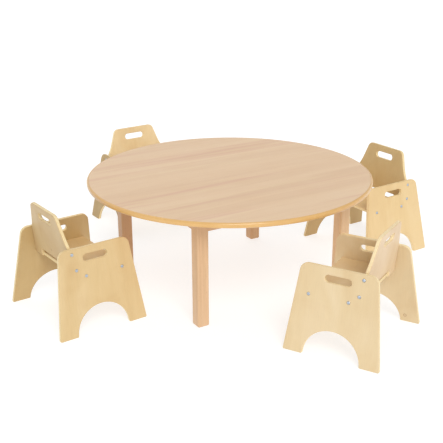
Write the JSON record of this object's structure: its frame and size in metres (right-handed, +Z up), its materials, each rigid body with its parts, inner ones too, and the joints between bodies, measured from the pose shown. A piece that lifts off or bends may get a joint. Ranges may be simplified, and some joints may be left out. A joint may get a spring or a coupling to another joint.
{
  "type": "nursery table and chair set",
  "caption": "Round low wooden table on square legs with plywood toddler armchairs around it, each with splayed arched sides, hand slots and a leaning back.",
  "frame": {"origin": "bottom centre of the whole set's box, on the floor, near the middle of the table", "axes": "+Z up, +Y away from the picture's viewer, +X to the viewer's right"},
  "size_m": [1.5332, 1.5824, 0.394],
  "materials": {
    "beech_laminate": "satin beech-grained laminate sheet",
    "lacquered_board": "clear lacquer on a rounded fibreboard edge",
    "beech": "satin clear lacquer on solid beech",
    "birch_ply": "satin clear lacquer on birch plywood, plies showing at the eased edges",
    "zinc_steel": "bright zinc plating"
  },
  "bodies": {
    "table": {"apron_back": "beech", "apron_front": "beech", "apron_left": "beech", "apron_right": "beech", "backing_laminate": "beech_laminate", "leg_back": "beech", "leg_front": "beech", "leg_left": "beech", "leg_right": "beech", "tabletop_board": "lacquered_board", "tabletop_laminate": "beech_laminate"},
    "chair_front_left": {"front_left_backrest": "birch_ply", "front_left_left_side": "birch_ply", "front_left_right_side": "birch_ply", "front_left_screw_left_back_lower": "zinc_steel", "front_left_screw_left_back_upper": "zinc_steel", "front_left_screw_left_seat_front": "zinc_steel", "front_left_screw_left_seat_rear": "zinc_steel", "front_left_screw_right_back_lower": "zinc_steel", "front_left_screw_right_back_upper": "zinc_steel", "front_left_screw_right_seat_front": "zinc_steel", "front_left_screw_right_seat_rear": "zinc_steel", "front_left_seat": "birch_ply"},
    "chair_back_left": {"back_left_backrest": "birch_ply", "back_left_left_side": "birch_ply", "back_left_right_side": "birch_ply", "back_left_screw_left_back_lower": "zinc_steel", "back_left_screw_left_back_upper": "zinc_steel", "back_left_screw_left_seat_front": "zinc_steel", "back_left_screw_left_seat_rear": "zinc_steel", "back_left_screw_right_back_lower": "zinc_steel", "back_left_screw_right_back_upper": "zinc_steel", "back_left_screw_right_seat_front": "zinc_steel", "back_left_screw_right_seat_rear": "zinc_steel", "back_left_seat": "birch_ply"},
    "chair_back_right": {"back_right_backrest": "birch_ply", "back_right_left_side": "birch_ply", "back_right_right_side": "birch_ply", "back_right_screw_left_back_lower": "zinc_steel", "back_right_screw_left_back_upper": "zinc_steel", "back_right_screw_left_seat_front": "zinc_steel", "back_right_screw_left_seat_rear": "zinc_steel", "back_right_screw_right_back_lower": "zinc_steel", "back_right_screw_right_back_upper": "zinc_steel", "back_right_screw_right_seat_front": "zinc_steel", "back_right_screw_right_seat_rear": "zinc_steel", "back_right_seat": "birch_ply"},
    "chair_front_right": {"front_right_backrest": "birch_ply", "front_right_left_side": "birch_ply", "front_right_right_side": "birch_ply", "front_right_screw_left_back_lower": "zinc_steel", "front_right_screw_left_back_upper": "zinc_steel", "front_right_screw_left_seat_front": "zinc_steel", "front_right_screw_left_seat_rear": "zinc_steel", "front_right_screw_right_back_lower": "zinc_steel", "front_right_screw_right_back_upper": "zinc_steel", "front_right_screw_right_seat_front": "zinc_steel", "front_right_screw_right_seat_rear": "zinc_steel", "front_right_seat": "birch_ply"}
  },
  "joints": [
    {"name": "front_left_chair_slide", "type": "slide", "parent": "table", "child": "chair_front_left", "axis": [0.809, 0.5878, 0], "range_m": [-0.25, 0.12]},
    {"name": "back_left_chair_slide", "type": "slide", "parent": "table", "child": "chair_back_left", "axis": [0.5592, -0.829, 0], "range_m": [-0.2, 0.25]},
    {"name": "back_right_chair_slide", "type": "slide", "parent": "table", "child": "chair_back_right", "axis": [-0.8251, -0.565, 0], "range_m": [-0.25, 0.18]},
    {"name": "front_right_chair_slide", "type": "slide", "parent": "table", "child": "chair_front_right", "axis": [-0.8634, 0.5045, 0], "range_m": [-0.25, 0.15]}
  ]
}
